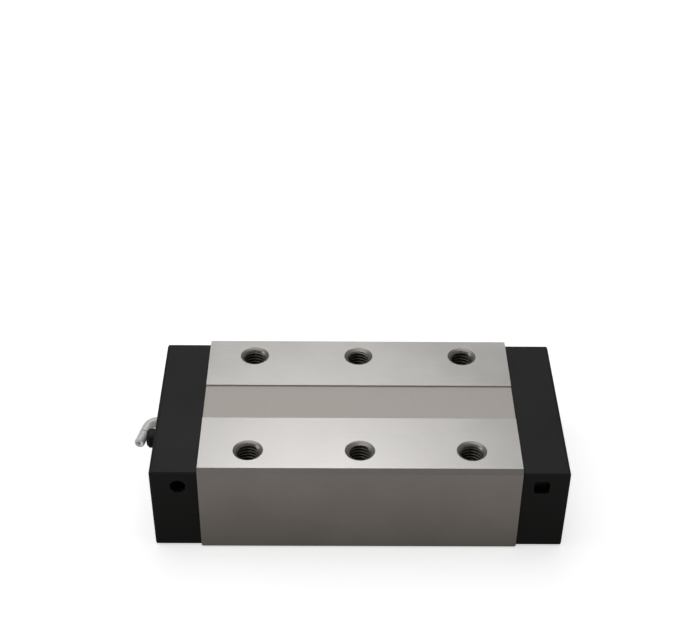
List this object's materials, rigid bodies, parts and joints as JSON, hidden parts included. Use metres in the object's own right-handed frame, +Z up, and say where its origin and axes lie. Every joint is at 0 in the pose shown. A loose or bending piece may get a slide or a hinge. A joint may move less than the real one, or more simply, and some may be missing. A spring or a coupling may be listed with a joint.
{
  "type": "linear guide carriage",
  "caption": "Long narrow steel carriage with black end caps and four endless roller loops, which rides on a profiled rail and carries a bolted table.",
  "frame": {"origin": "centre of the bolt pattern, on the ground mounting face", "axes": "+X along the travel towards the end without a grease nipple, +Y across the rail towards the back side face, +Z up out of the mounting face"},
  "size_m": [0.1419, 0.07, 0.0335],
  "materials": {
    "ground_steel": "fine ground steel with a matt unground strip",
    "bearing_steel": "polished hardened rollers",
    "inner_plastic": "moulded dark grey plastic",
    "seal_rubber": "matt black rubber",
    "cap_plastic": "fine grained black moulded plastic",
    "cover_steel": "blackened sheet steel",
    "screw_steel": "black oxide screws",
    "nipple_steel": "bright zinc plated steel",
    "spring_steel": "drawn spring wire"
  },
  "bodies": {
    "carriage": {"runner_block": "ground_steel", "return_sleeve_upper_front": "inner_plastic", "return_sleeve_upper_back": "inner_plastic", "return_sleeve_lower_front": "inner_plastic", "return_sleeve_lower_back": "inner_plastic", "centre_retainer_front": "inner_plastic", "centre_retainer_back": "inner_plastic", "upper_retainer_front": "inner_plastic", "upper_retainer_back": "inner_plastic", "lower_retainer_front": "inner_plastic", "lower_retainer_back": "inner_plastic", "side_seal_front": "seal_rubber", "side_seal_back": "seal_rubber", "end_cap_left": "cap_plastic", "end_cap_right": "cap_plastic", "turn_guides_left": "inner_plastic", "turn_guides_right": "inner_plastic", "wiper_seal_left": "seal_rubber", "wiper_seal_right": "seal_rubber", "seal_cover_left": "cover_steel", "seal_cover_right": "cover_steel", "cap_screws_left": "screw_steel", "cap_screws_right": "screw_steel", "nipple_elbow": "nipple_steel", "nipple_head": "nipple_steel", "nipple_spring": "spring_steel", "port_plug_left": "cap_plastic"},
    "loaded_row_upper_front": {"loaded_rollers_upper_front": "bearing_steel"},
    "return_row_upper_front": {"return_rollers_upper_front": "bearing_steel"},
    "left_turn_upper_front": {"left_turn_rollers_upper_front": "bearing_steel"},
    "right_turn_upper_front": {"right_turn_rollers_upper_front": "bearing_steel"},
    "loaded_row_upper_back": {"loaded_rollers_upper_back": "bearing_steel"},
    "return_row_upper_back": {"return_rollers_upper_back": "bearing_steel"},
    "left_turn_upper_back": {"left_turn_rollers_upper_back": "bearing_steel"},
    "right_turn_upper_back": {"right_turn_rollers_upper_back": "bearing_steel"},
    "loaded_row_lower_front": {"loaded_rollers_lower_front": "bearing_steel"},
    "return_row_lower_front": {"return_rollers_lower_front": "bearing_steel"},
    "left_turn_lower_front": {"left_turn_rollers_lower_front": "bearing_steel"},
    "right_turn_lower_front": {"right_turn_rollers_lower_front": "bearing_steel"},
    "loaded_row_lower_back": {"loaded_rollers_lower_back": "bearing_steel"},
    "return_row_lower_back": {"return_rollers_lower_back": "bearing_steel"},
    "left_turn_lower_back": {"left_turn_rollers_lower_back": "bearing_steel"},
    "right_turn_lower_back": {"right_turn_rollers_lower_back": "bearing_steel"},
    "check_ball": {"nipple_ball": "bearing_steel"}
  },
  "joints": [
    {"name": "loaded_travel_upper_front", "type": "slide", "parent": "carriage", "child": "loaded_row_upper_front", "axis": [1, 0, 0], "range_m": [-0.0018, 0.0018]},
    {"name": "return_travel_upper_front", "type": "slide", "parent": "carriage", "child": "return_row_upper_front", "axis": [1, 0, 0], "range_m": [-0.0018, 0.0018]},
    {"name": "left_turn_upper_front_travel", "type": "hinge", "parent": "carriage", "child": "left_turn_upper_front", "pos_m": [-0.05175, -0.01883, -0.01537], "axis": [0, -0.7071, -0.7071], "range_deg": [-32, 32]},
    {"name": "right_turn_upper_front_travel", "type": "hinge", "parent": "carriage", "child": "right_turn_upper_front", "pos_m": [0.05175, -0.01883, -0.01537], "axis": [0, -0.7071, -0.7071], "range_deg": [-32, 32]},
    {"name": "loaded_travel_upper_back", "type": "slide", "parent": "carriage", "child": "loaded_row_upper_back", "axis": [1, 0, 0], "range_m": [-0.0018, 0.0018]},
    {"name": "return_travel_upper_back", "type": "slide", "parent": "carriage", "child": "return_row_upper_back", "axis": [1, 0, 0], "range_m": [-0.0018, 0.0018]},
    {"name": "left_turn_upper_back_travel", "type": "hinge", "parent": "carriage", "child": "left_turn_upper_back", "pos_m": [-0.05175, 0.01883, -0.01537], "axis": [0, -0.7071, 0.7071], "range_deg": [-32, 32]},
    {"name": "right_turn_upper_back_travel", "type": "hinge", "parent": "carriage", "child": "right_turn_upper_back", "pos_m": [0.05175, 0.01883, -0.01537], "axis": [0, -0.7071, 0.7071], "range_deg": [-32, 32]},
    {"name": "loaded_travel_lower_front", "type": "slide", "parent": "carriage", "child": "loaded_row_lower_front", "axis": [1, 0, 0], "range_m": [-0.0018, 0.0018]},
    {"name": "return_travel_lower_front", "type": "slide", "parent": "carriage", "child": "return_row_lower_front", "axis": [1, 0, 0], "range_m": [-0.0018, 0.0018]},
    {"name": "left_turn_lower_front_travel", "type": "hinge", "parent": "carriage", "child": "left_turn_lower_front", "pos_m": [-0.05175, -0.01883, -0.02663], "axis": [0, 0.7071, -0.7071], "range_deg": [-32, 32]},
    {"name": "right_turn_lower_front_travel", "type": "hinge", "parent": "carriage", "child": "right_turn_lower_front", "pos_m": [0.05175, -0.01883, -0.02663], "axis": [0, 0.7071, -0.7071], "range_deg": [-32, 32]},
    {"name": "loaded_travel_lower_back", "type": "slide", "parent": "carriage", "child": "loaded_row_lower_back", "axis": [1, 0, 0], "range_m": [-0.0018, 0.0018]},
    {"name": "return_travel_lower_back", "type": "slide", "parent": "carriage", "child": "return_row_lower_back", "axis": [1, 0, 0], "range_m": [-0.0018, 0.0018]},
    {"name": "left_turn_lower_back_travel", "type": "hinge", "parent": "carriage", "child": "left_turn_lower_back", "pos_m": [-0.05175, 0.01883, -0.02663], "axis": [0, 0.7071, 0.7071], "range_deg": [-32, 32]},
    {"name": "right_turn_lower_back_travel", "type": "hinge", "parent": "carriage", "child": "right_turn_lower_back", "pos_m": [0.05175, 0.01883, -0.02663], "axis": [0, 0.7071, 0.7071], "range_deg": [-32, 32]},
    {"name": "check_ball_travel", "type": "slide", "parent": "carriage", "child": "check_ball", "axis": [0.2419, 0.9703, 0], "range_m": [0, 0.0006], "stiffness_N_per_m": 400}
  ],
  "couplings": [
    {"joint": "return_travel_upper_front", "follows": "loaded_travel_upper_front", "ratio": -1},
    {"joint": "left_turn_upper_front_travel", "follows": "loaded_travel_upper_front", "rad_per_m": 303.03},
    {"joint": "right_turn_upper_front_travel", "follows": "loaded_travel_upper_front", "rad_per_m": 303.03},
    {"joint": "return_travel_upper_back", "follows": "loaded_travel_upper_back", "ratio": -1},
    {"joint": "left_turn_upper_back_travel", "follows": "loaded_travel_upper_back", "rad_per_m": 303.03},
    {"joint": "right_turn_upper_back_travel", "follows": "loaded_travel_upper_back", "rad_per_m": 303.03},
    {"joint": "return_travel_lower_front", "follows": "loaded_travel_lower_front", "ratio": -1},
    {"joint": "left_turn_lower_front_travel", "follows": "loaded_travel_lower_front", "rad_per_m": 303.03},
    {"joint": "right_turn_lower_front_travel", "follows": "loaded_travel_lower_front", "rad_per_m": 303.03},
    {"joint": "return_travel_lower_back", "follows": "loaded_travel_lower_back", "ratio": -1},
    {"joint": "left_turn_lower_back_travel", "follows": "loaded_travel_lower_back", "rad_per_m": 303.03},
    {"joint": "right_turn_lower_back_travel", "follows": "loaded_travel_lower_back", "rad_per_m": 303.03}
  ]
}
